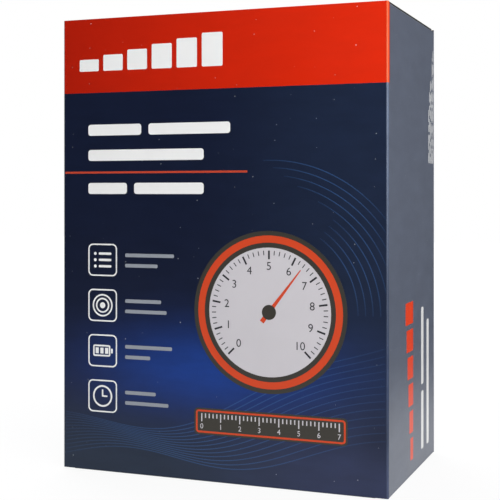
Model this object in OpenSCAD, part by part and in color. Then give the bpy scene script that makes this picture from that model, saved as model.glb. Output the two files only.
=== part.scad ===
// Tuck-top carton with an auto-lock bottom, folded from one blank of micro-flute board.
// The front panel faces -Y, the carton stands on z = 0, and the origin is the centre of its base.

/* [Carton] */
// Width across the front panel, outside
carton_w = 171; // [140:1:220]
// Depth from the front panel to the back panel, outside
carton_d = 102; // [80:1:140]
// Height of the closed carton, outside
carton_h = 230; // [150:1:320]

/* [Board] */
// Thickness of the board
board_t = 0.8; // [0.5:0.1:1.6]
// Radius on the inside of a fold
fold_r = 0.3; // [0.2:0.05:0.8]
// Glue line between two plies of board that lie on each other
ply_gap = 0.1; // [0.05:0.05:0.3]
// Cut-back of a flap's root from the corner fold beside it
corner_relief = 0.4; // [0.2:0.1:2]
// Height of the cut corner edges above the floor
corner_lift = 0.4; // [0.2:0.1:1]

/* [Lid] */
// Set-back of the lid's side edges from the outside of the carton
lid_side_gap = 1; // [0.5:0.1:2.5]
// Clearance under the closed lid, above the dust flaps
lid_gap = 0.2; // [0.1:0.05:0.6]
// Drop of the front panel's cut edge below the top of the lid
front_drop = 0.4; // [0.2:0.1:1]
// Length of the tuck flap below its fold
tuck_len = 25; // [15:1:35]
// Radius of the tuck flap's two free corners
tuck_corner_r = 14; // [4:1:14]
// Clearance between the tuck flap and the inside of the front panel
tuck_gap = 0.3; // [0.2:0.05:0.8]
// Clearance between the tuck flap's ends and the side panels
tuck_end_gap = 1; // [0.5:0.1:3]
// Length of the slit at each end of the tuck fold
slit_len = 10; // [5:1:20]

/* [Dust flaps] */
// Reach of a dust flap from the outside of its side panel
dust_len = 58; // [35:1:68]
// Length of the shoulder that the tuck slits catch on
dust_shoulder = 14; // [8:1:20]
// Step back of the front edge past the shoulder
dust_step = 5; // [2:0.5:10]
// Taper of the back edge from root to tip
dust_taper = 12; // [4:1:20]
// Clearance of the shoulder behind the tuck fold
dust_gap = 0.4; // [0.3:0.1:1.5]
// Radius of the corner between the front edge and the tip
dust_corner_r = 8; // [2:1:12]

/* [Glue seam] */
// Width of the glue flap inside the left panel
glue_w = 22; // [12:1:30]
// Taper of the glue flap's ends
glue_taper = 6; // [3:1:10]
// Set-back of the left panel's cut edge at the back corner
seam_setback = 0.2; // [0:0.1:0.6]

/* [Auto-lock bottom] */
// Step of the seam each side of the centre line
seam_step = 7; // [3:0.5:12]
// Width of the cut along the seam
seam_cut = 1; // [0.6:0.1:2]
// Reach of a locking tongue past the seam
tongue_len = 18; // [10:1:22]
// Distance of a tongue from the middle of the seam, and from the inner bottom flap beside it
tongue_start = 4; // [2:0.5:8]
// Corner cut on a tongue's free end
tongue_chamfer = 6; // [2:0.5:8]
// Run of the ramp that lifts a tongue onto the other flap
tongue_ramp = 5; // [3:0.5:8]
// Reach of an inner bottom flap from the outside of its side panel
inner_len = 44; // [30:1:52]
// Run of the ramp that lifts an inner bottom flap onto the locking flaps
inner_ramp = 4; // [2:0.5:8]
// Corner cut on an inner bottom flap's free end
inner_chamfer = 24; // [10:1:30]
// Slant of the unglued end of a locking flap
lock_slant = 12; // [4:1:20]
// Width of the scored diagonal fold on a locking flap
score_w = 1.2; // [0.6:0.1:2]
// Depth of the scored diagonal fold on a locking flap
score_depth = 0.3; // [0.1:0.05:0.5]

/* [Hidden] */
$fn = 48;
print_navy = "#1b2442";
// How far a cutting shape runs past the face that it cuts
over = 1;
// How far a fold's straight ends run into the flat board
fold_lap = 1;

// Half sizes of the outside, and the outside radius of a fold
half_w = carton_w / 2;
half_d = carton_d / 2;
fold_ro = fold_r + board_t;

// Underside of what lies on the locking flaps: the inner bottom flaps and the tongues
inner_foot = board_t + ply_gap;
// Top of the side panels, whose dust flaps lie under the lid
side_head = carton_h - board_t - lid_gap;

// The back panel folds into the glue flap just inside the left panel
seam_x = -half_w + board_t + ply_gap;
// Half length of the fold between the back panel and the lid
long_fold = half_w - board_t - ply_gap - fold_ro - corner_relief;

// The lid pivots on the outer line of its fold, this far inside the back and the top
pivot_in = fold_ro * (1 - cos(45));
lid_w = carton_w - 2 * lid_side_gap;

// The tuck flap leans back just enough for its free edge to swing out past the front panel
tuck_w = carton_w - 2 * board_t - 2 * tuck_end_gap;
tuck_fold_y = -half_d + board_t + tuck_gap + fold_ro;
tuck_reach = carton_d - pivot_in - board_t;
tuck_drop = tuck_len + fold_ro - pivot_in;
tuck_back = tuck_reach - sqrt(pow(tuck_reach - tuck_gap, 2) - pow(tuck_drop, 2));
tuck_slope = (tuck_back - tuck_gap) / (tuck_len - fold_lap);

// Dust flaps and inner bottom flaps
dust_front = tuck_fold_y + dust_gap;
dust_back = half_d - fold_ro - corner_relief;
inner_half = half_d - board_t - fold_r - corner_relief;
ramp_root = half_w - fold_ro - fold_lap;

// Locking flaps end clear of the inner flaps' ramps, and their tongues run between the inner flaps
lock_half = ramp_root - inner_ramp - corner_relief;
tongue_end = half_w - inner_len - tongue_start;

// Both a shape on the right and its mirror image on the left
module right_and_left() {
    children();
    mirror([1, 0, 0]) children();
}

// Rectangle with round corners, about the origin
module rounded_rect(w, d, r) {
    square([w - 2 * r, d], center = true);
    square([w, d - 2 * r], center = true);
    for (x = [-1, 1], y = [-1, 1])
        translate([x * (w / 2 - r), y * (d / 2 - r)]) circle(r);
}

// Inside corner of a fold about the origin, filled out to a radius, with its straight ends
module fold_corner(r, ends) {
    circle(r);
    translate([-ends, -ends]) square([ends + r, ends]);
    translate([-ends, -ends]) square([ends, ends + r]);
}

// Section of a fold through a right angle, from +X to +Y, with a straight lap at each end
module fold_section() {
    difference() {
        fold_corner(fold_ro, fold_lap);
        fold_corner(fold_r, fold_lap + over);
    }
}

// Board folded along the X axis, where the fold starts at an angle from +Y and turns towards +Z
module fold(half_span, start) {
    rotate([90, 0, 90])
        rotate(start)
            linear_extrude(2 * half_span, center = true) fold_section();
}

// Half of the fold between the back panel and the lid, on the side of its diagonal that a corner gives
module half_lid_fold(corner) {
    diagonal = [1, 1];
    translate([0, half_d - fold_ro, carton_h - fold_ro])
        intersection() {
            fold(long_fold, 0);
            rotate([90, 0, 90])
                linear_extrude(carton_w, center = true)
                    polygon(2 * (fold_ro + fold_lap) * [-diagonal, diagonal, corner]);
        }
}

// Cross-section of the four panels, open at the seam in the back left corner
module wall_section() {
    difference() {
        rounded_rect(carton_w, carton_d, fold_ro);
        rounded_rect(carton_w - 2 * board_t, carton_d - 2 * board_t, fold_r);
        translate([-half_w - over, half_d - fold_ro])
            square([seam_x + fold_ro + half_w + over, fold_ro + over]);
    }
    translate([-half_w, half_d - 2 * fold_ro])
        square([board_t, 2 * fold_ro - seam_setback]);
    translate([seam_x + fold_ro, half_d - fold_ro]) rotate(90) fold_section();
}

// Front and back panels between the corner folds, which stand higher than the side panels
module long_panels(z0, z1) {
    translate([0, 0, z0])
        linear_extrude(z1 - z0)
            intersection() {
                wall_section();
                for (side = [-1, 1])
                    translate([0, side * half_d])
                        square([carton_w + 2 * over, 2 * fold_ro], center = true);
            }
}

// Wall taken away where a flap folds off the foot or the head of a panel
module fold_windows() {
    for (side = [-1, 1])
        translate([-lock_half, side * half_d - fold_ro, -over])
            cube([2 * lock_half, 2 * fold_ro, fold_ro + over]);
    translate([-long_fold, half_d - fold_ro, carton_h - fold_ro])
        cube([2 * long_fold, 2 * fold_ro, fold_ro + over]);
    right_and_left() {
        translate([half_w - fold_ro, -inner_half, -over])
            cube([2 * fold_ro, 2 * inner_half, fold_ro + over]);
        translate([half_w - fold_ro, dust_front, side_head - fold_ro])
            cube([2 * fold_ro, dust_back - dust_front, fold_ro + over]);
    }
}

// Four panels standing round the inside
module walls() {
    difference() {
        union() {
            translate([0, 0, corner_lift])
                linear_extrude(side_head - corner_lift) wall_section();
            long_panels(corner_lift, carton_h - front_drop);
        }
        fold_windows();
    }
    half_lid_fold([1, -1]);
}

// Flap of the back panel, glued to the inside of the left panel
module glue_flap() {
    foot = fold_ro + board_t + ply_gap;
    head = side_head - fold_ro - board_t - ply_gap;
    root = half_d - fold_ro;
    tip = half_d - glue_w;
    translate([seam_x, 0, 0])
        rotate([90, 0, 90])
            linear_extrude(board_t)
                polygon([
                    [root, foot], [root, head],
                    [tip, head - glue_taper], [tip, foot + glue_taper]
                ]);
}

// Flap that closes one end of the top, under the lid
module dust_flap() {
    root = half_w - fold_ro;
    tip = half_w - dust_len;
    step_x = root - dust_shoulder;
    front = dust_front + dust_step;
    translate([half_w - fold_ro, (dust_front + dust_back) / 2, side_head - fold_ro])
        rotate(90) fold((dust_back - dust_front) / 2, 90);
    translate([0, 0, side_head - board_t])
        linear_extrude(board_t) {
            polygon([
                [root, dust_front], [step_x, dust_front], [step_x - dust_step, front],
                [tip + dust_corner_r, front], [tip + dust_corner_r, front + dust_corner_r],
                [tip, front + dust_corner_r], [tip, dust_back - dust_taper], [root, dust_back]
            ]);
            translate([tip + dust_corner_r, front + dust_corner_r]) circle(dust_corner_r);
        }
}

// Length of board along X that climbs a ramp onto the locking flaps, with a level lap at each end
module climb(start, run, width) {
    end = start + run;
    rotate([90, 0, 0])
        linear_extrude(width, center = true)
            polygon([
                [start - fold_lap, 0], [start, 0], [end, inner_foot], [end + fold_lap, inner_foot],
                [end + fold_lap, inner_foot + board_t], [end, inner_foot + board_t],
                [start, board_t], [start - fold_lap, board_t]
            ]);
}

// Flap of a side panel that climbs off the floor and lies inside on the two locking flaps
module inner_bottom_flap() {
    root = ramp_root - inner_ramp;
    tip = half_w - inner_len;
    translate([half_w - fold_ro, 0, fold_ro])
        rotate(90) fold(inner_half, 180);
    mirror([1, 0, 0]) climb(-ramp_root, inner_ramp, 2 * inner_half);
    translate([0, 0, inner_foot])
        linear_extrude(board_t)
            polygon([
                [root, -inner_half], [root, inner_half],
                [tip + inner_chamfer, inner_half], [tip, inner_half - inner_chamfer],
                [tip, -inner_half + inner_chamfer], [tip + inner_chamfer, -inner_half]
            ]);
}

// Tongue on the free edge of the front locking flap: it climbs a ramp and lies on the back one
module locking_tongue() {
    lip = seam_step - seam_cut / 2;
    translate([(tongue_start + tongue_end) / 2, 0, 0])
        rotate(90) climb(lip - tongue_ramp, tongue_ramp, tongue_end - tongue_start);
    translate([0, 0, inner_foot])
        linear_extrude(board_t)
            polygon([
                [tongue_start, lip], [tongue_end, lip],
                [tongue_end, lip + tongue_len - tongue_chamfer],
                [tongue_end - tongue_chamfer, lip + tongue_len],
                [tongue_start + tongue_chamfer, lip + tongue_len],
                [tongue_start, lip + tongue_len - tongue_chamfer]
            ]);
}

// Flap of the front panel, outermost in the base. Its left end is glued to the left inner flap past
// the scored diagonal, and its right half carries the tongue.
module locking_flap() {
    root = -half_d + fold_ro;
    near = -seam_step - seam_cut / 2;
    lip = seam_step - seam_cut / 2;
    translate([0, root, fold_ro]) fold(lock_half, 180);
    difference() {
        linear_extrude(board_t)
            polygon([
                [-lock_half, root], [-lock_half, near], [-seam_step, near], [seam_step, lip],
                [lock_half - lock_slant, lip], [lock_half, root]
            ]);
        translate([tongue_start, lip - tongue_ramp, -over])
            cube([tongue_end - tongue_start, tongue_ramp + over, board_t + 2 * over]);
        translate([-lock_half, root, 0])
            rotate(45)
                cube([2 * carton_d, score_w, 2 * score_depth], center = true);
    }
    locking_tongue();
}

module auto_lock_bottom() {
    locking_flap();
    rotate(180) locking_flap();
    right_and_left() inner_bottom_flap();
}

// Everything that stays put when the lid opens: one folded and glued blank
module carton() {
    color(print_navy) {
        walls();
        glue_flap();
        auto_lock_bottom();
        right_and_left() dust_flap();
    }
}

// Outline of the tuck flap seen from the front, hanging down from its fold
module tuck_outline() {
    translate([0, tuck_corner_r - tuck_len / 2])
        rounded_rect(tuck_w, tuck_len + 2 * tuck_corner_r, tuck_corner_r);
}

module tuck_flap() {
    fold_z = carton_h - fold_ro;
    outer = tuck_fold_y - fold_ro;
    inner = tuck_fold_y - fold_r;
    run = tuck_len + over;
    lean = tuck_slope * (run - fold_lap);
    translate([0, tuck_fold_y, fold_z]) fold(lid_w / 2 - slit_len, 90);
    intersection() {
        translate([-half_w, 0, fold_z])
            rotate([90, 0, 90])
                linear_extrude(carton_w)
                    polygon([
                        [outer, 0], [inner, 0], [inner, -fold_lap],
                        [inner + lean, -run], [outer + lean, -run], [outer, -fold_lap]
                    ]);
        translate([0, 0, fold_z])
            rotate([90, 0, 0])
                linear_extrude(carton_d) tuck_outline();
    }
}

// Panel that closes the top, hinged on the fold along the back panel
module lid_panel() {
    root = half_d - fold_ro;
    corner = lid_w / 2 - long_fold;
    half_lid_fold([-1, 1]);
    translate([0, 0, carton_h - board_t])
        linear_extrude(board_t)
            polygon([
                [-long_fold, root], [-lid_w / 2, root - corner], [-lid_w / 2, tuck_fold_y],
                [lid_w / 2, tuck_fold_y], [lid_w / 2, root - corner], [long_fold, root]
            ]);
}

module lid() {
    color(print_navy) {
        lid_panel();
        tuck_flap();
    }
}

carton();
lid();
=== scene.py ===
"""Looks of a printed tuck-top carton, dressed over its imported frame.

The carton stands on z = 0 with its printed front facing -Y. Lengths are in millimetres times MM, so that
everything is in metres. Each panel that carries print has a flat plane of its own, where x runs to the
right and y runs up as a reader sees it, and ink is laid on it as thin closed shapes.
"""

import itertools
import math

import bmesh
import bpy
from mathutils import Matrix, Vector


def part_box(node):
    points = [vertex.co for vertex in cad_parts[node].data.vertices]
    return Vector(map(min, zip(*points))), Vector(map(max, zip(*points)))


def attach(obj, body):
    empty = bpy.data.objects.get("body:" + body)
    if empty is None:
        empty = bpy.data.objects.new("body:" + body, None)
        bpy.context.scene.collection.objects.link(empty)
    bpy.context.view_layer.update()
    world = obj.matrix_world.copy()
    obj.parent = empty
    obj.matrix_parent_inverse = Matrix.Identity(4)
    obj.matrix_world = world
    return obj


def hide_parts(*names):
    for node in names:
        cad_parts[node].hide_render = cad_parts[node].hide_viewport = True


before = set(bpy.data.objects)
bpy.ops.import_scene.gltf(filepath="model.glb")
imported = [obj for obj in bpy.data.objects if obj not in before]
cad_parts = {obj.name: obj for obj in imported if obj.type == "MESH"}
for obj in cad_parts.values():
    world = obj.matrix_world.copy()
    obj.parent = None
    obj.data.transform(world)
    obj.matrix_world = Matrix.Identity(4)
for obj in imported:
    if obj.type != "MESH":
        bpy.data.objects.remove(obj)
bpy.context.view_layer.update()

MM = 0.001

# Carton, read from the frame
_, carton_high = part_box("carton")
_, lid_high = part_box("lid")
HALF_W = carton_high.x
HALF_D = carton_high.y
TOP = lid_high.z
CENTRE = Vector((0, 0, TOP / 2))

# Board: its thickness, the outer radius of its folds, its scores and its flutes
BOARD = 0.8 * MM
FOLD_OUT = 1.1 * MM
SCORE_DEPTH = 0.3 * MM
FLUTE_PITCH = 3.2 * MM
# Sides of the sheet, as material numbers
PRINTED, LINER, CUT = range(3)
# A region whose area is under this share of its rim times the board is a cut edge
CUT_SHARE = 0.65
# A region that ends below this height is a score's wall
SCORE_HEAD = 1.1 * SCORE_DEPTH
# A face smaller than this belongs to a fold or a flap's corner and is shaded smooth
FLAT_AREA = 15 * MM * 40 * MM
SHARP_TURN = math.radians(40)
FLAT_TURN = math.radians(0.5)
# A face looks along an axis where more than this share of its normal does
FACING_SHARE = 0.5
# Points this close are one, and points this close to a panel's outer face lie on it
SAME_POINT = 0.001 * MM
SAME_PLANE = 0.01 * MM

# Photograph's camera: a level view from the right of the front, with the frame shifted down
CAMERA_PLACE = Vector((210.8, -552.8, 141.1)) * MM
CAMERA_YAW = math.radians(21.085)
CAMERA_LENS = 80.476
CAMERA_SENSOR = 36.0
CAMERA_SHIFT = -0.114
# Bearing of the view's right edge, to the left of +Y
VIEW_EDGE = CAMERA_YAW - math.atan(CAMERA_SENSOR / 2 / CAMERA_LENS)


def srgb(red, green, blue):
    """A colour written in 8-bit sRGB, as linear RGBA."""
    def linear(value):
        value /= 255
        return value / 12.92 if value <= 0.04045 else ((value + 0.055) / 1.055) ** 2.4
    return (linear(red), linear(green), linear(blue), 1.0)


# Colours of the print, with painted sheen, reflection, highlight and shade among them
NAVY = srgb(16, 24, 47)
# Navy towards the front's right edge, paler as a painted sheen
NAVY_PAINTED_SHEEN = srgb(25, 36, 59)
# Navy of the front's foot, paler partly in print and partly as a painted reflection of the floor
NAVY_FOOT_AND_REFLECTION = srgb(28, 41, 61)
NAVY_PLAIN = srgb(26, 37, 60)
# Painted highlight on the navy of the front right fold
NAVY_PAINTED_HIGHLIGHT = srgb(150, 168, 198)
# The foot's colour at its right, bluer, partly print and partly a painted reflection of the floor
VIOLET_FOOT_AND_REFLECTION = srgb(42, 50, 80)
GLOW_BLUE = srgb(18, 56, 132)
LINE_BLUE = srgb(64, 106, 164)
SLATE = srgb(94, 101, 117)
# The band's orange at its left end, darkened as painted shade
BAND_PAINTED_SHADE = srgb(174, 24, 0)
BAND_ORANGE = srgb(221, 38, 0)
# Painted highlight on the band where it wraps the front right fold
BAND_PAINTED_HIGHLIGHT = srgb(252, 136, 62)
INK_WHITE = srgb(243, 243, 241)
INK_GREY = srgb(150, 155, 163)
INK_PALE = srgb(207, 203, 207)
INK_DARK = srgb(38, 39, 44)
CHARCOAL = srgb(60, 57, 51)
RULE_RED = srgb(196, 70, 46)
DIAL_ORANGE = srgb(212, 72, 36)
SIDE_ORANGE = srgb(244, 66, 18)
DUST_PALE = srgb(204, 208, 214)

# Colours of the board, with painted shade for the flutes' hollows
KRAFT = srgb(182, 146, 104)
KRAFT_DARK = srgb(150, 115, 79)
KRAFT_FLECK = srgb(84, 60, 40)
CUT_PAPER = srgb(104, 102, 102)
CUT_SHADE = srgb(80, 78, 78)
# Painted shade inside the flutes' hollows on the cut edge
CUT_HOLLOW_SHADE = srgb(34, 31, 30)

# Grain of the surfaces, in patterns to the metre
FLECK_GRAIN = 1500.0
FIBRE_GRAIN = 900.0
# Patches of the painted highlight on the front right fold
HIGHLIGHT_GRAIN = 120.0
INK_GRAIN = 60.0
SMEAR_GRAIN = 55.0
HAZE_GRAIN = 30.0

# Satin film over the print, with its smears and specks; radii of specks are shares of their spacing
FILM_RELIEF = 0.006 * MM
FILM_ROUGHNESS = (0.27, 0.37)
FILM_SPECULAR = 0.36
RIPPLE_RELIEF = 0.25
SMEAR_RELIEF = 4.0
SMEAR_STRETCH = 3.2
SMEAR_ON_NAVY, SMEAR_ON_BAND = 0.45, 0.15
SPECK_SPACING = 10 * MM
SPECK_RADII = (0.008, 0.026)
SPECK_FADE = (0.6, 1.0)
SPECK_SHARE = 0.7

# Painted highlight on the front right fold, which fades in from the flat panels and grows with height
HIGHLIGHT_START, HIGHLIGHT_FULL = 1.2 * FOLD_OUT, 0.7 * FOLD_OUT
HIGHLIGHT_PATCHES = (0.6, 1.4)
HIGHLIGHT_HEIGHTS, HIGHLIGHT_GRADES = (60 * MM, 190 * MM), (0.3, 1.1)
HIGHLIGHT_SHARE = 0.3

# Front's fields of colour, painted sheen and floor reflection among them: x from the panel's middle, height
# from the base
# Where the painted sheen grows across the front
NAVY_SHEEN_SPAN = (-20 * MM, 70 * MM)
FOOT_TURNS = (-40 * MM, 70 * MM)
# Heights where the foot, partly a painted floor reflection, grows paler
FOOT_PALES = (52 * MM, 6 * MM)
GLOW_MIDDLE, GLOW_REACH = (-4 * MM, 54 * MM), (60 * MM, 20 * MM)
# A darker patch of the print's wave pattern, low at the right near the fold
DARK_PATCH_MIDDLE, DARK_PATCH_REACH, DARK_PATCH_SHARE = (82 * MM, 28 * MM), (12 * MM, 12 * MM), 0.6

# Ink lies on the film in layers, in room that the film leaves inside the frame's faces
INK_LAYER = 0.015 * MM
INK_SUNK = 0.01 * MM
LINES_LAYER, PRINT_LAYER, BODY_LAYER, FACE_LAYER, SCALE_LAYER, NEEDLE_LAYER, HUB_LAYER = range(1, 8)
INK_ROOM = HUB_LAYER * INK_LAYER
INK_UNEVEN = 0.93
CORNER_STEPS = 5
ROUND_STEPS = 72
DISC_STEPS = 64

# Front panel's band, marks and headings; a heading line is its foot and the lengths of its bars
BAND_FOOT, BAND_WRAP = 192 * MM, 1.6 * MM
MARK_LEFT, MARK_FOOT = -76 * MM, 203 * MM
MARK_STEPS, MARK_PITCH, MARK_BLOCK, MARK_CORNER = 6, 13.6 * MM, 11 * MM, 0.7 * MM
MARK_LOW, MARK_RISE = 6 * MM, 2.1 * MM
TEXT_LEFT = -71 * MM
HEADING_HEIGHT, HEADING_GAP, HEADING_CORNER = 5.6 * MM, 4 * MM, 1.4 * MM
HEADING_LINES = ((170.2 * MM, (30 * MM, 44 * MM)), (157.4 * MM, (64 * MM,)), (140.6 * MM, (22 * MM, 38 * MM)))
RULE_FOOT, RULE_HEIGHT, RULE_RIGHT, RULE_CORNER = 151 * MM, 1 * MM, 16 * MM, 0.2 * MM

# Column of signs, from the lowest up, with two caption bars beside each
SIGN_SIZE, SIGN_LINE, SIGN_CORNER = 16.4 * MM, 0.7 * MM, 2.6 * MM
SIGN_FOOT, SIGN_PITCH = 30 * MM, 23 * MM
CAPTION_LEFT, CAPTION_HEIGHT, CAPTION_CORNER = -50 * MM, 1.8 * MM, 0.6 * MM
CAPTION_RISES = (2.6 * MM, -2.6 * MM)
CAPTION_LENGTHS = ((17 * MM, 24 * MM), (26 * MM, 14 * MM), (20 * MM, 23 * MM), (27 * MM, 18 * MM))

# Dial, with ticks given by length and width
DIAL_X, DIAL_Z, DIAL_RADIUS = 27 * MM, 84 * MM, 39 * MM
DIAL_RING = (DIAL_RADIUS - 5.6 * MM, DIAL_RADIUS - 2.2 * MM)
DIAL_FACE = DIAL_RADIUS - 8 * MM
DIAL_START, DIAL_SWEEP = math.radians(225), math.radians(270)
DIAL_VALUES, DIAL_PARTS = 10, 5
TICK_REACH = DIAL_RADIUS - 9.4 * MM
LONG_TICK, SHORT_TICK = (4.2 * MM, 0.9 * MM), (2.2 * MM, 0.45 * MM)
NUMERAL_REACH, NUMERAL_HEIGHT = TICK_REACH - 7.6 * MM, 4 * MM
NEEDLE_VALUE, NEEDLE_TAIL, NEEDLE_REACH = 6.4, 6 * MM, 26 * MM
NEEDLE_WIDTH, NEEDLE_TIP, HUB_RADIUS = 2.4 * MM, 0.5 * MM, 3.6 * MM
# A numeral takes up a little less than this share of its font size
NUMERAL_SHARE = 0.73

# Measuring scale under the dial
SCALE_LEFT, SCALE_FOOT = -12 * MM, 23 * MM
SCALE_LENGTH, SCALE_HEIGHT, SCALE_CORNER = 78 * MM, 13 * MM, 2 * MM
SCALE_EDGE, SCALE_EDGE_CORNER = 0.9 * MM, 1.6 * MM
SCALE_TICKS, SCALE_PARTS, SCALE_PITCH = 36, 5, 2 * MM
SCALE_START, SCALE_HEAD = SCALE_LEFT + 4 * MM, SCALE_FOOT + SCALE_HEIGHT - 2.6 * MM
SCALE_LONG, SCALE_SHORT, SCALE_STROKE, SCALE_TICK_CORNER = 4 * MM, 2.2 * MM, 0.6 * MM, 0.1 * MM
SCALE_NUMERAL_LEVEL, SCALE_NUMERAL_HEIGHT = SCALE_FOOT + 4 * MM, 2.6 * MM

# Fine lines: a fan of waves that climbs to the right, and arcs round the dial
LINE_WIDTH, LINE_STEPS, LINE_FADE, LINE_SHARE = 0.45 * MM, 48, 0.08, 0.34
FAN_LINES, FAN_LEFT, FAN_WIDTH = 13, -84 * MM, 168 * MM
FAN_FOOT, FAN_SPREAD = 8 * MM, 16 * MM
FAN_CLIMB, FAN_CLIMB_SPREAD = 14 * MM, 34 * MM
FAN_WAVE, FAN_WAVES, FAN_LAG = 5 * MM, 1.3, 0.22
ARC_LINES, ARC_GAP, ARC_PITCH, ARC_SWEEP = 9, 5 * MM, 3.6 * MM, 0.95

# Right panel's print, on lines that read upwards: along from the base, across from the panel's middle
SIDE_MARK_START, SIDE_MARK_FOOT = 8 * MM, 0 * MM
SIDE_TEXT_START = 8.5 * MM
SIDE_HEADING_HEIGHT, SIDE_HEADING_GAP, SIDE_HEADING_CORNER = 5.4 * MM, 3.5 * MM, 1.3 * MM
SIDE_HEADING_LINES = ((-24 * MM, (30 * MM, 40 * MM)), (-37 * MM, (66 * MM,)))
SMALL_START, SMALL_FOOT, SMALL_PITCH = 157 * MM, -37.4 * MM, 2.2 * MM
SMALL_HEIGHT, SMALL_GAP, SMALL_CORNER, SMALL_SHORTEST = 0.9 * MM, 1.6 * MM, 0.3 * MM, 1.5 * MM
SMALL_ROWS = [length * MM for length in (30, 38, 46, 43, 57, 61)]
SMALL_WORDS = [length * MM for length in (5.5, 8, 3.5, 6.5, 9, 4.5, 7)]

# Stage: what the film mirrors of the floor fades out past the view's right edge and towards the front
FLOOR_RADIUS, FLOOR_STEPS, FLOOR_DROP = 6.0, 96, 0.2 * MM
FLOOR_GREY = (0.5, 0.5, 0.5, 1.0)
FLOOR_RIGHT_FADE = (CAMERA_PLACE.x + 98 * MM, CAMERA_PLACE.x - 2 * MM)
FLOOR_FRONT_FADE = (-550 * MM, -150 * MM)
FLOOR_MIRRORED = (0.08, 0.76)
# Share of white far from the carton and near it, where its shadow shows
FLOOR_WHITE, SHADOW_REACH = (1.0, 0.81), (0.7, 0.7)
FLOOR_STRENGTH = 1.12
CARD_GREY = (0.9, 0.9, 0.9, 1.0)
STUDIO_AIR = (0.065, 0.072, 0.09, 1.0)


class Net:
    """A material's node tree, with short calls for the nodes that this file needs."""

    # Colour sockets of the mix node
    FIRST_COLOUR, SECOND_COLOUR, MIXED_COLOUR = 6, 7, 2

    def __init__(self, name):
        self.material = bpy.data.materials.new(name)
        self.material.use_nodes = True
        self.nodes = self.material.node_tree.nodes
        self.links = self.material.node_tree.links
        self.shader = self.nodes["Principled BSDF"]

    def feed(self, socket, value):
        """Links a socket to a node's output, or sets it to a constant."""
        if isinstance(value, bpy.types.NodeSocket):
            self.links.new(value, socket)
        else:
            socket.default_value = value

    def math(self, operation, *values, clamp=False):
        node = self.nodes.new("ShaderNodeMath")
        node.operation = operation
        node.use_clamp = clamp
        for socket, value in zip(node.inputs, values):
            self.feed(socket, value)
        return node.outputs[0]

    def between(self, share, low, high):
        """low where the share is 0, and high where it is 1."""
        return self.math("MULTIPLY_ADD", share, high - low, low)

    def mix(self, share, first, second):
        node = self.nodes.new("ShaderNodeMix")
        node.data_type = "RGBA"
        self.feed(node.inputs["Factor"], share)
        self.feed(node.inputs[self.FIRST_COLOUR], first)
        self.feed(node.inputs[self.SECOND_COLOUR], second)
        return node.outputs[self.MIXED_COLOUR]

    def smooth(self, value, none, full):
        """0 at one value and 1 at another, eased between them and level past them."""
        node = self.nodes.new("ShaderNodeMapRange")
        node.interpolation_type = "SMOOTHSTEP"
        self.feed(node.inputs["Value"], value)
        node.inputs["From Min"].default_value = none
        node.inputs["From Max"].default_value = full
        return node.outputs[0]

    def split(self, vector):
        node = self.nodes.new("ShaderNodeSeparateXYZ")
        self.links.new(vector, node.inputs[0])
        return node.outputs

    def coordinates(self, kind="Object"):
        return self.nodes.new("ShaderNodeTexCoord").outputs[kind]

    def facing(self, axis):
        """1 on faces that look along an axis, either way, and 0 on the others."""
        outward = self.split(self.coordinates("Normal"))[axis]
        return self.math("GREATER_THAN", self.math("ABSOLUTE", outward), FACING_SHARE)

    def noise(self, vector, scale, detail=3.0, roughness=0.5):
        node = self.nodes.new("ShaderNodeTexNoise")
        self.links.new(vector, node.inputs["Vector"])
        node.inputs["Scale"].default_value = scale
        node.inputs["Detail"].default_value = detail
        node.inputs["Roughness"].default_value = roughness
        return node.outputs["Fac"]

    def bump(self, height, distance):
        node = self.nodes.new("ShaderNodeBump")
        self.links.new(height, node.inputs["Height"])
        node.inputs["Distance"].default_value = distance
        self.links.new(node.outputs[0], self.shader.inputs["Normal"])

    def gloss(self, roughness, specular):
        self.feed(self.shader.inputs["Roughness"], roughness)
        self.shader.inputs["Specular IOR Level"].default_value = specular

    def colour(self, value):
        self.feed(self.shader.inputs["Base Color"], value)


def blot(net, x, y, middle, reach):
    """A soft round field, 1 at its middle and fading out."""
    across = net.math("DIVIDE", net.math("SUBTRACT", x, middle[0]), reach[0])
    along = net.math("DIVIDE", net.math("SUBTRACT", y, middle[1]), reach[1])
    square = net.math("ADD", net.math("POWER", across, 2.0), net.math("POWER", along, 2.0))
    return net.math("EXPONENT", net.math("MULTIPLY", square, -1.0))


def front_field(net, place):
    """The front's broad fields: navy with a painted sheen at its right, a foot paler partly as painted floor
    reflection, and a blue glow low in the middle.
    """
    x, _, z = net.split(place)
    # Painted sheen: the navy grows paler towards the right
    field = net.mix(net.smooth(x, *NAVY_SHEEN_SPAN), NAVY, NAVY_PAINTED_SHEEN)
    # The foot: partly print, partly a painted reflection of the floor, bluer towards the right
    foot = net.mix(net.smooth(x, *FOOT_TURNS), NAVY_FOOT_AND_REFLECTION, VIOLET_FOOT_AND_REFLECTION)
    field = net.mix(net.smooth(z, *FOOT_PALES), field, foot)
    field = net.mix(blot(net, x, z, GLOW_MIDDLE, GLOW_REACH), field, GLOW_BLUE)
    # A darker patch of the print's wave pattern, low at the right near the fold
    dark_patch = net.math("MULTIPLY", blot(net, x, z, DARK_PATCH_MIDDLE, DARK_PATCH_REACH), DARK_PATCH_SHARE)
    return net.mix(dark_patch, field, NAVY)


def plain_colour(net, z, level_colour):
    """Slate on the narrow sides, level_colour on faces that look up in the upper half, navy elsewhere."""
    upward = net.split(net.coordinates("Normal"))["Z"]
    looks_up = net.math("GREATER_THAN", upward, FACING_SHARE)
    level = net.math("MULTIPLY", looks_up, net.math("GREATER_THAN", z, TOP / 2))
    return net.mix(level, net.mix(net.facing("X"), NAVY_PLAIN, SLATE), level_colour)


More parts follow.
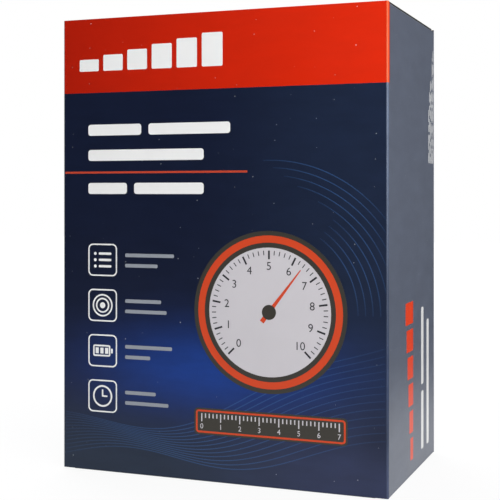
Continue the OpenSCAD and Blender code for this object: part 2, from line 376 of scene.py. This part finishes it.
def smears(net, place):
    """Faint smears across the film, longer than they are tall, from -0.5 to 0.5."""
    stretch = net.nodes.new("ShaderNodeMapping")
    stretch.inputs["Scale"].default_value = (1.0, 1.0, SMEAR_STRETCH)
    net.links.new(place, stretch.inputs["Vector"])
    cloudy = net.noise(stretch.outputs[0], SMEAR_GRAIN, detail=4.0, roughness=0.6)
    return net.math("SUBTRACT", cloudy, 0.5)


def smeared(net, place, colour, depth):
    """A colour made lighter and darker by the smears."""
    node = net.nodes.new("ShaderNodeHueSaturation")
    net.links.new(colour, node.inputs["Color"])
    net.links.new(net.math("MULTIPLY_ADD", smears(net, place), depth, 1.0), node.inputs["Value"])
    return node.outputs[0]


def specks(net, place):
    """Sparse pale specks that lie on the film, scattered on a flat plan of each face."""
    x, y, z = net.split(place)
    level = net.facing("Z")
    upright = net.math("SUBTRACT", 1.0, level)
    plan = net.nodes.new("ShaderNodeCombineXYZ")
    net.links.new(net.math("MULTIPLY_ADD", y, upright, x), plan.inputs["X"])
    net.links.new(net.math("MULTIPLY_ADD", y, level, net.math("MULTIPLY", z, upright)), plan.inputs["Y"])
    cells = net.nodes.new("ShaderNodeTexVoronoi")
    cells.voronoi_dimensions = "2D"
    cells.inputs["Scale"].default_value = 1 / SPECK_SPACING
    net.links.new(plan.outputs[0], cells.inputs["Vector"])
    strength, size, _ = net.split(cells.outputs["Color"])
    inside = net.math("LESS_THAN", cells.outputs["Distance"], net.between(size, *SPECK_RADII))
    return net.math("MULTIPLY", inside, net.smooth(strength, *SPECK_FADE))


def fold_wear(net, place):
    """A painted highlight along the front right fold, strongest at its head."""
    x, y, z = net.split(place)
    across = net.smooth(x, HALF_W - HIGHLIGHT_START, HALF_W - HIGHLIGHT_FULL)
    along = net.smooth(y, HIGHLIGHT_START - HALF_D, HIGHLIGHT_FULL - HALF_D)
    on_fold = net.math("MULTIPLY", across, along)
    patchy = net.between(net.noise(place, HIGHLIGHT_GRAIN), *HIGHLIGHT_PATCHES)
    graded = net.between(net.smooth(z, *HIGHLIGHT_HEIGHTS), *HIGHLIGHT_GRADES)
    return net.math("MULTIPLY", on_fold, net.math("MULTIPLY", patchy, graded))


def film_gloss(net):
    """The satin film over the print, with the faint ripple of the flutes under it."""
    place = net.coordinates()
    x, y, _ = net.split(place)
    sideways = net.facing("X")
    lengthways = net.math("SUBTRACT", 1.0, sideways)
    run = net.math("MULTIPLY_ADD", y, sideways, net.math("MULTIPLY", x, lengthways))
    ripple = net.math("SINE", net.math("MULTIPLY", run, 2 * math.pi / FLUTE_PITCH))
    relief = net.math("MULTIPLY_ADD", ripple, RIPPLE_RELIEF, net.noise(place, FIBRE_GRAIN))
    relief = net.math("MULTIPLY_ADD", smears(net, place), SMEAR_RELIEF, relief)
    net.bump(relief, FILM_RELIEF)
    haze = net.noise(place, HAZE_GRAIN)
    net.gloss(net.between(haze, *FILM_ROUGHNESS), FILM_SPECULAR)


def printed_film(name, band_foot, level_colour):
    """Printed outside of the board: the front's fields under a band, plain colours elsewhere, and painted
    light on the front.

    The band lies above band_foot on the front and a little way round the fold at its head.
    """
    net = Net(name)
    place = net.coordinates()
    x, y, z = net.split(place)
    on_front = net.math("LESS_THAN", y, FOLD_OUT - HALF_D)
    round_fold = net.math("LESS_THAN", y, FOLD_OUT + BAND_WRAP - HALF_D)
    in_band = net.math("MULTIPLY", round_fold, net.math("GREATER_THAN", z, band_foot))
    # The band grades from painted shade at its left end to its full orange at its right
    rightward = net.math("MULTIPLY_ADD", x, 0.5 / HALF_W, 0.5, clamp=True)
    colour = net.mix(on_front, plain_colour(net, z, level_colour), front_field(net, place))
    colour = net.mix(in_band, colour, net.mix(rightward, BAND_PAINTED_SHADE, BAND_ORANGE))
    colour = smeared(net, place, colour, net.between(in_band, SMEAR_ON_NAVY, SMEAR_ON_BAND))
    # Painted highlight along the front right fold, pale navy on the navy and pale orange on the band
    highlit = net.math("MULTIPLY", fold_wear(net, place), HIGHLIGHT_SHARE)
    colour = net.mix(highlit, colour, net.mix(in_band, NAVY_PAINTED_HIGHLIGHT, BAND_PAINTED_HIGHLIGHT))
    net.colour(net.mix(net.math("MULTIPLY", specks(net, place), SPECK_SHARE), colour, DUST_PALE))
    film_gloss(net)
    return net.material


def kraft_liner():
    """Uncoated inside of the board: brown paper with fibres, clouds and dark flecks."""
    fibre_share, cloud_share, tone_ends = 0.7, 0.3, (0.3, 0.7)
    fleck_ends, fleck_share, fibre_relief = (0.70, 0.76), 0.5, 0.02 * MM
    net = Net("kraft_liner")
    place = net.coordinates()
    fibres = net.noise(place, FIBRE_GRAIN, detail=5.0, roughness=0.7)
    clouds = net.noise(place, HAZE_GRAIN)
    flecks = net.smooth(net.noise(place, FLECK_GRAIN, detail=1.0), *fleck_ends)
    cloudy = net.math("MULTIPLY", clouds, cloud_share)
    tone = net.math("ADD", net.math("MULTIPLY", fibres, fibre_share), cloudy)
    colour = net.mix(net.smooth(tone, *tone_ends), KRAFT_DARK, KRAFT)
    net.colour(net.mix(net.math("MULTIPLY", flecks, fleck_share), colour, KRAFT_FLECK))
    net.bump(fibres, fibre_relief)
    net.gloss(roughness=0.9, specular=0.2)
    return net.material


def cut_edge():
    """Cut edge of the board: two liners with the fluting between them, and painted shade in its hollows.

    Depths are shares of the board: 0 at the liner's face and 1 at the print's.
    """
    flute_swing, flute_core, flute_rim = 0.33, 0.09, 0.13
    hollow_rim, facing_start, relief = 0.36, 0.40, 0.15 * MM
    net = Net("cut_edge")
    along, through, _ = net.split(net.coordinates("UV"))
    wave = net.math("SINE", net.math("MULTIPLY", along, 2 * math.pi / FLUTE_PITCH))
    flute = net.math("MULTIPLY_ADD", wave, flute_swing, 0.5)
    off_flute = net.math("ABSOLUTE", net.math("SUBTRACT", through, flute))
    off_centre = net.math("ABSOLUTE", net.math("SUBTRACT", through, 0.5))
    in_flute = net.smooth(off_flute, flute_rim, flute_core)
    in_facing = net.smooth(off_centre, hollow_rim, facing_start)
    paper = net.math("MAXIMUM", in_flute, in_facing)
    grey = net.mix(net.noise(net.coordinates(), FIBRE_GRAIN), CUT_SHADE, CUT_PAPER)
    # Between the paper, the hollows get painted shade
    net.colour(net.mix(paper, CUT_HOLLOW_SHADE, grey))
    net.bump(paper, relief)
    net.gloss(roughness=0.95, specular=0.1)
    return net.material


def ink(name, colour):
    """Flat ink under the film, a little uneven."""
    net = Net(name)
    darker = tuple(INK_UNEVEN * part for part in colour[:3]) + (1.0,)
    net.colour(net.mix(net.noise(net.coordinates(), INK_GRAIN), darker, colour))
    film_gloss(net)
    return net.material


def line_ink():
    """Fine lines in a lighter blue, fading towards their ends into the front's fields, painted sheen and
    reflection included.
    """
    net = Net("fine_line_blue")
    strength = net.nodes.new("ShaderNodeAttribute")
    strength.attribute_name = "strength"
    share = net.math("MULTIPLY", strength.outputs["Fac"], LINE_SHARE)
    net.colour(net.mix(share, front_field(net, net.coordinates()), LINE_BLUE))
    film_gloss(net)
    return net.material


def make_object(name, mesh, *materials):
    """Puts a finished mesh into the scene as an object."""
    data = bpy.data.meshes.new(name)
    mesh.to_mesh(data)
    mesh.free()
    for material in materials:
        data.materials.append(material)
    made = bpy.data.objects.new(name, data)
    bpy.context.collection.objects.link(made)
    return made


def smooth_regions(mesh):
    """Groups of faces that meet without a sharp edge between them."""
    waiting = set(mesh.faces)
    regions = []
    while waiting:
        region = {waiting.pop()}
        border = list(region)
        while border:
            face = border.pop()
            for edge in face.edges:
                for other in edge.link_faces:
                    if other in waiting and edge.calc_face_angle(math.pi) < SHARP_TURN:
                        waiting.discard(other)
                        region.add(other)
                        border.append(other)
        regions.append(region)
    return regions


def side_of_board(region):
    """Which side of the sheet a region is. A score's walls count as printed."""
    area = sum(face.calc_area() for face in region)
    rim = sum(edge.calc_length() for face in region for edge in face.edges
              if sum(other in region for other in edge.link_faces) == 1)
    in_score = max(vert.co.z for face in region for vert in face.verts) < SCORE_HEAD
    if area < CUT_SHARE * BOARD * rim and not in_score:
        return CUT
    outward = sum(face.calc_area() * face.normal.dot(face.calc_center_median() - CENTRE)
                  for face in region)
    return PRINTED if outward > 0 or in_score else LINER


def sort_sides(mesh):
    """Gives each face the material of its side of the sheet, and smooth shading on the folds."""
    for region in smooth_regions(mesh):
        side = side_of_board(region)
        for face in region:
            face.material_index = side
            face.smooth = face.calc_area() < FLAT_AREA
    for edge in mesh.edges:
        edge.smooth = edge.calc_face_angle(0.0) < SHARP_TURN


def lay_flutes(mesh, node):
    """Coordinates on the cut edges: along the flutes' row, and through the board from liner to print."""
    layer = mesh.loops.layers.uv.new("flutes")
    for face in mesh.faces:
        stands_high = face.calc_center_median().z > TOP / 2 and abs(face.normal.z) < FACING_SHARE
        on_dust_flap = node == "carton" and stands_high
        for loop in face.loops:
            sides = {other.material_index for other in loop.vert.link_faces}
            through = 1.0 if PRINTED in sides else 0.0
            place = loop.vert.co
            loop[layer].uv = (place.y if on_dust_flap else place.x, through)


def make_ink_room(mesh):
    """Sets the front and the right side back, so that the ink on them stays inside the frame."""
    front = [vert for vert in mesh.verts if vert.co.y < SAME_PLANE - HALF_D]
    right = [vert for vert in mesh.verts if vert.co.x > HALF_W - SAME_PLANE]
    bmesh.ops.translate(mesh, verts=front, vec=(0, INK_ROOM, 0))
    bmesh.ops.translate(mesh, verts=right, vec=(-INK_ROOM, 0, 0))


def dress_board(node, materials):
    """A copy of a node's mesh with its printed side, liner and cut edges in their own materials."""
    mesh = bmesh.new()
    mesh.from_mesh(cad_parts[node].data)
    bmesh.ops.remove_doubles(mesh, verts=mesh.verts, dist=SAME_POINT)
    bmesh.ops.dissolve_limit(mesh, angle_limit=FLAT_TURN, verts=mesh.verts, edges=mesh.edges)
    sort_sides(mesh)
    lay_flutes(mesh, node)
    make_ink_room(mesh)
    piece = make_object(node + "_board", mesh, *materials)
    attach(piece, node)
    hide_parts(node)


def panel_plane(origin, right, up):
    """A printed panel's own plane: x to the right, y up and z out of the board."""
    turn = Matrix((right, up, right.cross(up))).transposed().to_4x4()
    return Matrix.Translation(origin) @ turn


FRONT = panel_plane(Vector((0, INK_ROOM - HALF_D, 0)), Vector((1, 0, 0)), Vector((0, 0, 1)))
SIDE = panel_plane(Vector((HALF_W - INK_ROOM, 0, 0)), Vector((0, 0, 1)), Vector((0, -1, 0)))


def press(mesh, name, plane, material, layer):
    """Gives flat shapes the ink's thickness, lays them on a panel and lets them ride on the carton."""
    bmesh.ops.remove_doubles(mesh, verts=mesh.verts, dist=SAME_POINT)
    raised = bmesh.ops.extrude_face_region(mesh, geom=mesh.faces[:], use_keep_orig=True)["geom"]
    upper = [part for part in raised if isinstance(part, bmesh.types.BMVert)]
    bmesh.ops.translate(mesh, verts=upper, vec=(0, 0, INK_SUNK + layer * INK_LAYER))
    bmesh.ops.translate(mesh, verts=mesh.verts, vec=(0, 0, -INK_SUNK))
    bmesh.ops.recalc_face_normals(mesh, faces=mesh.faces)
    bmesh.ops.transform(mesh, matrix=plane, verts=mesh.verts)
    piece = make_object(name, mesh, material)
    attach(piece, "carton")


def polygon(mesh, points):
    return mesh.faces.new([mesh.verts.new((x, y, 0)) for x, y in points])


def rounded(mesh, points, corner):
    """A flat shape with round corners."""
    face = polygon(mesh, points)
    bevel = bmesh.ops.bevel(mesh, geom=face.verts[:], offset=corner, offset_type="OFFSET",
                            segments=CORNER_STEPS, profile=0.5, affect="VERTICES", material=-1)
    return bevel["verts"][0].link_faces[0]


def bar(mesh, left, foot, right, head, corner):
    """A bar with round corners."""
    return rounded(mesh, ((left, foot), (right, foot), (right, head), (left, head)), corner)


def bar_line(mesh, left, foot, lengths, height, gap, corner):
    """Bars on one line, with a gap after each."""
    for length in lengths:
        bar(mesh, left, foot, left + length, foot + height, corner)
        left += length + gap


def outline(mesh, left, foot, right, head, corner, line):
    """The outline of a bar with round corners."""
    face = bar(mesh, left, foot, right, head, corner)
    face.normal_update()
    bmesh.ops.inset_region(mesh, faces=[face], thickness=line, use_boundary=True, use_even_offset=True)
    bmesh.ops.delete(mesh, geom=[face], context="FACES")


def disc(mesh, x, y, radius):
    bmesh.ops.create_circle(mesh, cap_ends=True, segments=DISC_STEPS, radius=radius,
                            matrix=Matrix.Translation((x, y, 0)))


def ring(mesh, x, y, inner, outer):
    """A flat ring, from a short line turned round the middle."""
    ends = [mesh.verts.new((x + radius, y, 0)) for radius in (inner, outer)]
    line = mesh.edges.new(ends)
    bmesh.ops.spin(mesh, geom=[*ends, line], cent=(x, y, 0), axis=(0, 0, 1), angle=2 * math.pi,
                   steps=ROUND_STEPS, use_merge=True)


def spoke(mesh, angle, inner, outer, width, tip):
    """A straight stroke along a radius of the dial, from its width inside to its tip outside."""
    along = Vector((math.cos(angle), math.sin(angle)))
    across = Vector((-along.y, along.x)) / 2
    start = Vector((DIAL_X, DIAL_Z)) + inner * along
    end = Vector((DIAL_X, DIAL_Z)) + outer * along
    polygon(mesh, (start - width * across, end - tip * across, end + tip * across, start + width * across))


def ribbon(mesh, strength, path):
    """A fine line along a path, bent from a straight strip and strongest in its middle.

    The path gives a place for each share of its length, from 0 to 1.
    """
    little = 0.001
    strip = bmesh.ops.create_grid(mesh, x_segments=LINE_STEPS, y_segments=1, size=0.5)
    for vert in strip["verts"]:
        along = vert.co.x + 0.5
        place = Vector(path(along))
        ahead = (Vector(path(along + little)) - place).normalized()
        across = Vector((-ahead.y, ahead.x))
        vert[strength] = math.sin(math.pi * (LINE_FADE + (1 - 2 * LINE_FADE) * along))
        vert.co = (place + vert.co.y * LINE_WIDTH * across).to_3d()


def numeral(mesh, value, x, y, height):
    """A plain number with its middle at x, y."""
    letters = bpy.data.curves.new("numeral", "FONT")
    letters.body = str(value)
    letters.size = height / NUMERAL_SHARE
    letters.align_x = "CENTER"
    letters.align_y = "CENTER"
    holder = bpy.data.objects.new("numeral", letters)
    flat = bpy.data.meshes.new_from_object(holder)
    flat.transform(Matrix.Translation((x, y, 0)))
    mesh.from_mesh(flat)
    bpy.data.objects.remove(holder)
    bpy.data.curves.remove(letters)
    bpy.data.meshes.remove(flat)


def rising_blocks(mesh, left, foot):
    """A row of blocks, each taller than the last."""
    for step in range(MARK_STEPS):
        start = left + step * MARK_PITCH
        bar(mesh, start, foot, start + MARK_BLOCK, foot + MARK_LOW + step * MARK_RISE, MARK_CORNER)


def fan_lines(blue):
    """A fan of fine waves that sweeps across the lower front."""
    mesh = bmesh.new()
    strength = mesh.verts.layers.float.new("strength")
    for line in range(FAN_LINES):
        share = line / (FAN_LINES - 1)

        def path(along):
            climb = (FAN_CLIMB + FAN_CLIMB_SPREAD * share) * along ** 2
            wave = FAN_WAVE * math.sin(2 * math.pi * FAN_WAVES * (along + FAN_LAG * share))
            return FAN_LEFT + FAN_WIDTH * along, FAN_FOOT + FAN_SPREAD * share + climb + wave

        ribbon(mesh, strength, path)
    press(mesh, "fine_lines_ink", FRONT, blue, LINES_LAYER)


def arc_lines(blue):
    """Fine arcs round the dial, from its right upwards. The wider ones start at the panel's fold."""
    mesh = bmesh.new()
    strength = mesh.verts.layers.float.new("strength")
    room = HALF_W - FOLD_OUT - DIAL_X
    for line in range(ARC_LINES):
        radius = DIAL_RADIUS + ARC_GAP + line * ARC_PITCH
        start = math.acos(min(1.0, room / radius))

        def path(along):
            angle = start + ARC_SWEEP * along
            return DIAL_X + radius * math.cos(angle), DIAL_Z + radius * math.sin(angle)

        ribbon(mesh, strength, path)
    press(mesh, "ripples_ink", FRONT, blue, PRINT_LAYER)


def band_mark(white):
    mesh = bmesh.new()
    rising_blocks(mesh, MARK_LEFT, MARK_FOOT)
    press(mesh, "band_mark_ink", FRONT, white, PRINT_LAYER)


def headings(white):
    """Lines of heading as plain bars."""
    mesh = bmesh.new()
    for foot, lengths in HEADING_LINES:
        bar_line(mesh, TEXT_LEFT, foot, lengths, HEADING_HEIGHT, HEADING_GAP, HEADING_CORNER)
    press(mesh, "title_ink", FRONT, white, PRINT_LAYER)


def heading_rule(red):
    """A thin rule from the left fold, between the headings."""
    mesh = bmesh.new()
    bar(mesh, FOLD_OUT - HALF_W, RULE_FOOT, RULE_RIGHT, RULE_FOOT + RULE_HEIGHT, RULE_CORNER)
    press(mesh, "heading_rule_ink", FRONT, red, PRINT_LAYER)


def list_sign(mesh, x, y):
    """Three rows, each a dot and a bar."""
    row_pitch, dot_radius, dot_x = 3.2 * MM, 0.8 * MM, -4.2 * MM
    bar_left, bar_right, half_bar, corner = -2.2 * MM, 5 * MM, 0.6 * MM, 0.5 * MM
    for row in (-1, 0, 1):
        level = y + row * row_pitch
        disc(mesh, x + dot_x, level, dot_radius)
        bar(mesh, x + bar_left, level - half_bar, x + bar_right, level + half_bar, corner)


def target_sign(mesh, x, y):
    """A dot in two rings."""
    dot_radius, inner_radii, line = 1.5 * MM, (3 * MM, 4.9 * MM), 0.8 * MM
    disc(mesh, x, y, dot_radius)
    for radius in inner_radii:
        ring(mesh, x, y, radius, radius + line)


def cell_sign(mesh, x, y):
    """A battery cell with a cap and three bars of charge."""
    left, right, half_height, corner, line = -5.4 * MM, 4.4 * MM, 2.9 * MM, 0.9 * MM, 0.8 * MM
    cap_left, cap_right, half_cap, cap_corner = 4.8 * MM, 5.8 * MM, 1.2 * MM, 0.3 * MM
    charge_left, charge_pitch, charge_width = -4 * MM, 2.7 * MM, 1.8 * MM
    half_charge, charge_corner = 1.5 * MM, 0.2 * MM
    outline(mesh, x + left, y - half_height, x + right, y + half_height, corner, line)
    bar(mesh, x + cap_left, y - half_cap, x + cap_right, y + half_cap, cap_corner)
    for step in range(3):
        start = x + charge_left + step * charge_pitch
        bar(mesh, start, y - half_charge, start + charge_width, y + half_charge, charge_corner)


def clock_sign(mesh, x, y):
    """A clock face with two hands, which are one shape."""
    inner, outer, corner = 4.6 * MM, 5.5 * MM, 0.3 * MM
    half_hand, long_hand, short_hand = 0.4 * MM, 3.4 * MM, 2.8 * MM
    left, right, tip = x - half_hand, x + half_hand, x + short_hand
    foot, elbow, head = y - half_hand, y + half_hand, y + long_hand
    hands = ((left, foot), (tip, foot), (tip, elbow), (right, elbow), (right, head), (left, head))
    ring(mesh, x, y, inner, outer)
    rounded(mesh, hands, corner)


def sign_column(white, grey):
    """A column of four outlined signs, from the lowest up, with two grey bars beside each."""
    mesh = bmesh.new()
    bars = bmesh.new()
    signs = (clock_sign, cell_sign, target_sign, list_sign)
    for step, (sign, lengths) in enumerate(zip(signs, CAPTION_LENGTHS)):
        foot = SIGN_FOOT + step * SIGN_PITCH
        middle = foot + SIGN_SIZE / 2
        outline(mesh, TEXT_LEFT, foot, TEXT_LEFT + SIGN_SIZE, foot + SIGN_SIZE, SIGN_CORNER, SIGN_LINE)
        sign(mesh, TEXT_LEFT + SIGN_SIZE / 2, middle)
        for rise, length in zip(CAPTION_RISES, lengths):
            low = middle + rise - CAPTION_HEIGHT / 2
            bar(bars, CAPTION_LEFT, low, CAPTION_LEFT + length, low + CAPTION_HEIGHT, CAPTION_CORNER)
    press(mesh, "feature_icons_ink", FRONT, white, PRINT_LAYER)
    press(bars, "icon_captions_ink", FRONT, grey, PRINT_LAYER)


def dial_angle(value):
    """Where a value stands round the dial, in radians."""
    return DIAL_START - DIAL_SWEEP * value / DIAL_VALUES


def dial_scale(dark):
    """The dial's ticks and numbers."""
    mesh = bmesh.new()
    for tick in range(DIAL_VALUES * DIAL_PARTS + 1):
        length, width = SHORT_TICK if tick % DIAL_PARTS else LONG_TICK
        spoke(mesh, dial_angle(tick / DIAL_PARTS), TICK_REACH - length, TICK_REACH, width, width)
    for value in range(DIAL_VALUES + 1):
        angle = dial_angle(value)
        x = DIAL_X + NUMERAL_REACH * math.cos(angle)
        numeral(mesh, value, x, DIAL_Z + NUMERAL_REACH * math.sin(angle), NUMERAL_HEIGHT)
    press(mesh, "dial_scale_ink", FRONT, dark, SCALE_LAYER)


def dial(charcoal, orange, pale, dark):
    """A plain round dial: bezel, bright ring, face, scale with numbers, needle and hub."""
    mesh = bmesh.new()
    disc(mesh, DIAL_X, DIAL_Z, DIAL_RADIUS)
    press(mesh, "dial_bezel_ink", FRONT, charcoal, BODY_LAYER)
    mesh = bmesh.new()
    ring(mesh, DIAL_X, DIAL_Z, *DIAL_RING)
    press(mesh, "dial_ring_ink", FRONT, orange, FACE_LAYER)
    mesh = bmesh.new()
    disc(mesh, DIAL_X, DIAL_Z, DIAL_FACE)
    press(mesh, "dial_face_ink", FRONT, pale, FACE_LAYER)
    dial_scale(dark)
    mesh = bmesh.new()
    spoke(mesh, dial_angle(NEEDLE_VALUE), -NEEDLE_TAIL, NEEDLE_REACH, NEEDLE_WIDTH, NEEDLE_TIP)
    press(mesh, "dial_needle_ink", FRONT, orange, NEEDLE_LAYER)
    mesh = bmesh.new()
    disc(mesh, DIAL_X, DIAL_Z, HUB_RADIUS)
    press(mesh, "dial_hub_ink", FRONT, charcoal, HUB_LAYER)


def straight_scale(charcoal, orange, pale):
    """A plain measuring scale under the dial: body, bright edge, ticks and numbers."""
    right, head = SCALE_LEFT + SCALE_LENGTH, SCALE_FOOT + SCALE_HEIGHT
    mesh = bmesh.new()
    bar(mesh, SCALE_LEFT, SCALE_FOOT, right, head, SCALE_CORNER)
    press(mesh, "scale_body_ink", FRONT, charcoal, BODY_LAYER)
    mesh = bmesh.new()
    outline(mesh, SCALE_LEFT + SCALE_EDGE, SCALE_FOOT + SCALE_EDGE, right - SCALE_EDGE, head - SCALE_EDGE,
            SCALE_EDGE_CORNER, SCALE_EDGE)
    press(mesh, "scale_edge_ink", FRONT, orange, FACE_LAYER)
    mesh = bmesh.new()
    for tick in range(SCALE_TICKS):
        x = SCALE_START + tick * SCALE_PITCH
        length = SCALE_SHORT if tick % SCALE_PARTS else SCALE_LONG
        bar(mesh, x - SCALE_STROKE / 2, SCALE_HEAD - length, x + SCALE_STROKE / 2, SCALE_HEAD,
            SCALE_TICK_CORNER)
        if tick % SCALE_PARTS == 0:
            numeral(mesh, tick // SCALE_PARTS, x, SCALE_NUMERAL_LEVEL, SCALE_NUMERAL_HEIGHT)
    press(mesh, "scale_marks_ink", FRONT, pale, FACE_LAYER)


def small_print(white):
    """Rows of dashes, each row ending where too little of it is left for one more."""
    mesh = bmesh.new()
    words = itertools.cycle(SMALL_WORDS)
    for row, length in enumerate(SMALL_ROWS):
        foot = SMALL_FOOT - row * SMALL_PITCH
        start = 0
        while length - start > SMALL_SHORTEST:
            end = min(start + next(words), length)
            bar(mesh, SMALL_START + start, foot, SMALL_START + end, foot + SMALL_HEIGHT, SMALL_CORNER)
            start = end + SMALL_GAP
    press(mesh, "side_small_print_ink", SIDE, white, LINES_LAYER)


def side_print(orange, white):
    """The right panel's print: a mark, heading bars and small print, on lines that read upwards."""
    mesh = bmesh.new()
    rising_blocks(mesh, SIDE_MARK_START, SIDE_MARK_FOOT)
    press(mesh, "side_mark_ink", SIDE, orange, LINES_LAYER)
    mesh = bmesh.new()
    for foot, lengths in SIDE_HEADING_LINES:
        bar_line(mesh, SIDE_TEXT_START, foot, lengths, SIDE_HEADING_HEIGHT, SIDE_HEADING_GAP,
                 SIDE_HEADING_CORNER)
    press(mesh, "side_title_ink", SIDE, white, LINES_LAYER)
    small_print(white)


def whiten(net, share, mirrored, strength=1.0):
    """Mixes a share of white into what is seen of a stage surface, and sets how white a film mirrors it."""
    path = net.nodes.new("ShaderNodeLightPath")
    seen = net.math("MAXIMUM", path.outputs["Is Camera Ray"], path.outputs["Is Transmission Ray"])
    glossy = path.outputs["Is Glossy Ray"]
    white = net.nodes.new("ShaderNodeEmission")
    bright = net.math("MULTIPLY_ADD", glossy, mirrored, net.math("MULTIPLY", seen, strength))
    net.links.new(bright, white.inputs["Strength"])
    blend = net.nodes.new("ShaderNodeMixShader")
    net.links.new(net.math("MAXIMUM", net.math("MULTIPLY", seen, share), glossy), blend.inputs[0])
    net.links.new(net.shader.outputs[0], blend.inputs[1])
    net.links.new(white.outputs[0], blend.inputs[2])
    net.links.new(blend.outputs[0], net.nodes["Material Output"].inputs["Surface"])


def floor_finish():
    """A pale floor. The film mirrors it as white behind the carton, fading to the front and right."""
    net = Net("pale_floor")
    net.colour(FLOOR_GREY)
    net.gloss(roughness=0.9, specular=0.1)
    x, y, _ = net.split(net.coordinates())
    ahead = net.math("SUBTRACT", y, CAMERA_PLACE.y)
    past_view = net.math("MULTIPLY_ADD", ahead, math.tan(VIEW_EDGE), x)
    right_fade = net.smooth(past_view, *FLOOR_RIGHT_FADE)
    lit = net.math("MULTIPLY", right_fade, net.smooth(y, *FLOOR_FRONT_FADE))
    near = blot(net, x, y, (0.0, 0.0), SHADOW_REACH)
    share = net.between(near, *FLOOR_WHITE)
    whiten(net, share, net.between(lit, *FLOOR_MIRRORED), FLOOR_STRENGTH)
    return net.material


def stage_floor():
    mesh = bmesh.new()
    bmesh.ops.create_circle(mesh, cap_ends=True, segments=FLOOR_STEPS, radius=FLOOR_RADIUS,
                            matrix=Matrix.Translation((0, 0, -FLOOR_DROP)))
    floor = make_object("floor", mesh, floor_finish())


def stage_card(name, middle, width, height, mirrored):
    """An upright white card behind the carton; mirrored says how white the film shows it."""
    mesh = bmesh.new()
    bmesh.ops.create_grid(mesh, x_segments=1, y_segments=1, size=0.5)
    upright = Matrix.Rotation(math.radians(90), 4, "X")
    place = Matrix.Translation(middle) @ upright @ Matrix.Diagonal((width, height, 1, 1))
    bmesh.ops.transform(mesh, matrix=place, verts=mesh.verts)
    net = Net(name)
    net.colour(CARD_GREY)
    whiten(net, 1.0, mirrored)
    card = make_object(name, mesh, net.material)


def softbox(name, place, aim, size, power, mirrored):
    """A soft lamp; one that isn't mirrored lights the carton without a glare on its film."""
    lamp = bpy.data.lights.new(name, "AREA")
    lamp.shape = "RECTANGLE"
    lamp.size, lamp.size_y = size
    lamp.energy = power
    box = bpy.data.objects.new(name, lamp)
    box.location = place
    box.rotation_euler = (Vector(aim) - Vector(place)).to_track_quat("-Z", "Y").to_euler()
    box.visible_camera = False
    box.visible_glossy = mirrored
    bpy.context.collection.objects.link(box)


def light_stage():
    """Soft lamps round the carton: the strip gives the front right fold its highlight."""
    softbox("key", place=(0.64, -0.84, 0.69), aim=(0.03, -0.05, 0.115), size=(1.2, 1.2), power=12.2,
            mirrored=False)
    softbox("strip", place=(0.70, -0.68, 0.24), aim=(0.085, -0.05, 0.16), size=(1.0, 0.28), power=3.7,
            mirrored=True)
    softbox("side", place=(0.95, 0.15, 0.40), aim=(0.08, 0, 0.12), size=(0.7, 0.9), power=1.8,
            mirrored=True)
    softbox("top", place=(0, 0.1, 1.3), aim=(0, 0, 0), size=(1.2, 1.2), power=1.5, mirrored=False)
    softbox("back", place=(-0.75, 0.85, 0.75), aim=(0, 0, 0.115), size=(1.2, 1.2), power=17.0,
            mirrored=False)
    world = bpy.data.worlds.new("studio")
    world.use_nodes = True
    world.node_tree.nodes["Background"].inputs["Color"].default_value = STUDIO_AIR
    bpy.context.scene.world = world


def photo_camera():
    data = bpy.data.cameras.new("photo_camera")
    data.lens = CAMERA_LENS
    data.sensor_width = CAMERA_SENSOR
    data.shift_y = CAMERA_SHIFT
    camera = bpy.data.objects.new("photo_camera", data)
    camera.location = CAMERA_PLACE
    camera.rotation_euler = (math.radians(90), 0, CAMERA_YAW)
    bpy.context.collection.objects.link(camera)
    bpy.context.scene.camera = camera


photo_camera()
stage_floor()
stage_card("left_backdrop", middle=(-1.7, 2.6, 1.5), width=3.4, height=3.2, mirrored=1.0)
stage_card("right_backdrop", middle=(1.1, 2.6, 0.9), width=2.2, height=2.0, mirrored=0.1)
light_stage()
bpy.context.scene.view_settings.view_transform = "Standard"

liner = kraft_liner()
edge = cut_edge()
dress_board("carton", (printed_film("carton_film", BAND_FOOT, SLATE), liner, edge))
dress_board("lid", (printed_film("lid_film", TOP - FOLD_OUT - BAND_WRAP, NAVY_PLAIN), liner, edge))

white = ink("white_ink", INK_WHITE)
orange = ink("orange_ink", DIAL_ORANGE)
charcoal = ink("charcoal_ink", CHARCOAL)
pale = ink("pale_ink", INK_PALE)
line_blue = line_ink()
fan_lines(line_blue)
arc_lines(line_blue)
band_mark(white)
headings(white)
heading_rule(ink("rule_red_ink", RULE_RED))
sign_column(white, ink("grey_ink", INK_GREY))
dial(charcoal, orange, pale, ink("dark_ink", INK_DARK))
straight_scale(charcoal, orange, pale)
side_print(ink("side_orange_ink", SIDE_ORANGE), white)
